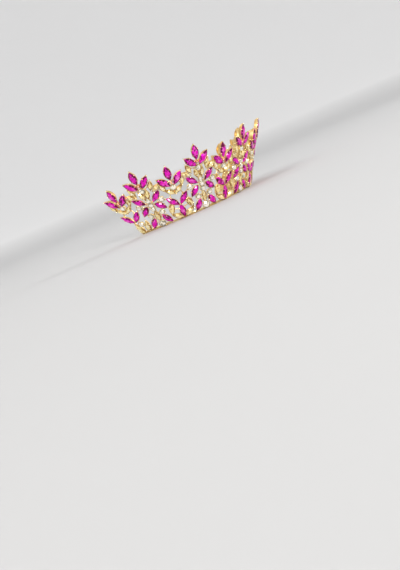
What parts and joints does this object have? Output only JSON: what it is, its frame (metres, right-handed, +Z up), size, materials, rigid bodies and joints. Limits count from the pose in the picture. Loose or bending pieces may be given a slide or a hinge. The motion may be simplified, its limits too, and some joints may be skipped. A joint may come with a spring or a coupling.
{
  "type": "bridal crown",
  "caption": "Half-round openwork bridal crown of cut glass stones in gold claw settings, its tall and short motifs each topped with a flower of three long stones.",
  "frame": {"origin": "under the middle of the crown's bounding box, on the surface that the crown stands on", "axes": "+Z up along the axis of the cone that the wall follows, -Y toward the crown's front, +X toward the wearer's left, so the open back of the half round is at +Y"},
  "size_m": [0.2154, 0.1204, 0.0642],
  "materials": {
    "gold_setting": "polished gold plate",
    "fuchsia_stone": "cut and foil-backed",
    "champagne_stone": "cut and foil-backed",
    "clear_stone": "cut and foil-backed"
  },
  "bodies": {
    "root": {"openwork_left": "gold_setting", "openwork_right": "gold_setting", "petal_left_01": "fuchsia_stone", "petal_top_01": "fuchsia_stone", "petal_right_01": "fuchsia_stone", "petal_left_02": "fuchsia_stone", "petal_top_02": "fuchsia_stone", "petal_right_02": "fuchsia_stone", "petal_left_03": "fuchsia_stone", "petal_top_03": "fuchsia_stone", "petal_right_03": "fuchsia_stone", "petal_left_04": "fuchsia_stone", "petal_top_04": "fuchsia_stone", "petal_right_04": "fuchsia_stone", "petal_left_05": "fuchsia_stone", "petal_top_05": "fuchsia_stone", "petal_right_05": "fuchsia_stone", "petal_left_06": "fuchsia_stone", "petal_top_06": "fuchsia_stone", "petal_right_06": "fuchsia_stone", "petal_left_07": "fuchsia_stone", "petal_top_07": "fuchsia_stone", "petal_right_07": "fuchsia_stone", "petal_left_08": "fuchsia_stone", "petal_top_08": "fuchsia_stone", "petal_right_08": "fuchsia_stone", "petal_left_09": "fuchsia_stone", "petal_top_09": "fuchsia_stone", "petal_right_09": "fuchsia_stone", "petal_left_10": "fuchsia_stone", "petal_top_10": "fuchsia_stone", "petal_right_10": "fuchsia_stone", "petal_left_11": "fuchsia_stone", "petal_top_11": "fuchsia_stone", "petal_right_11": "fuchsia_stone"}
  },
  "joints": []
}
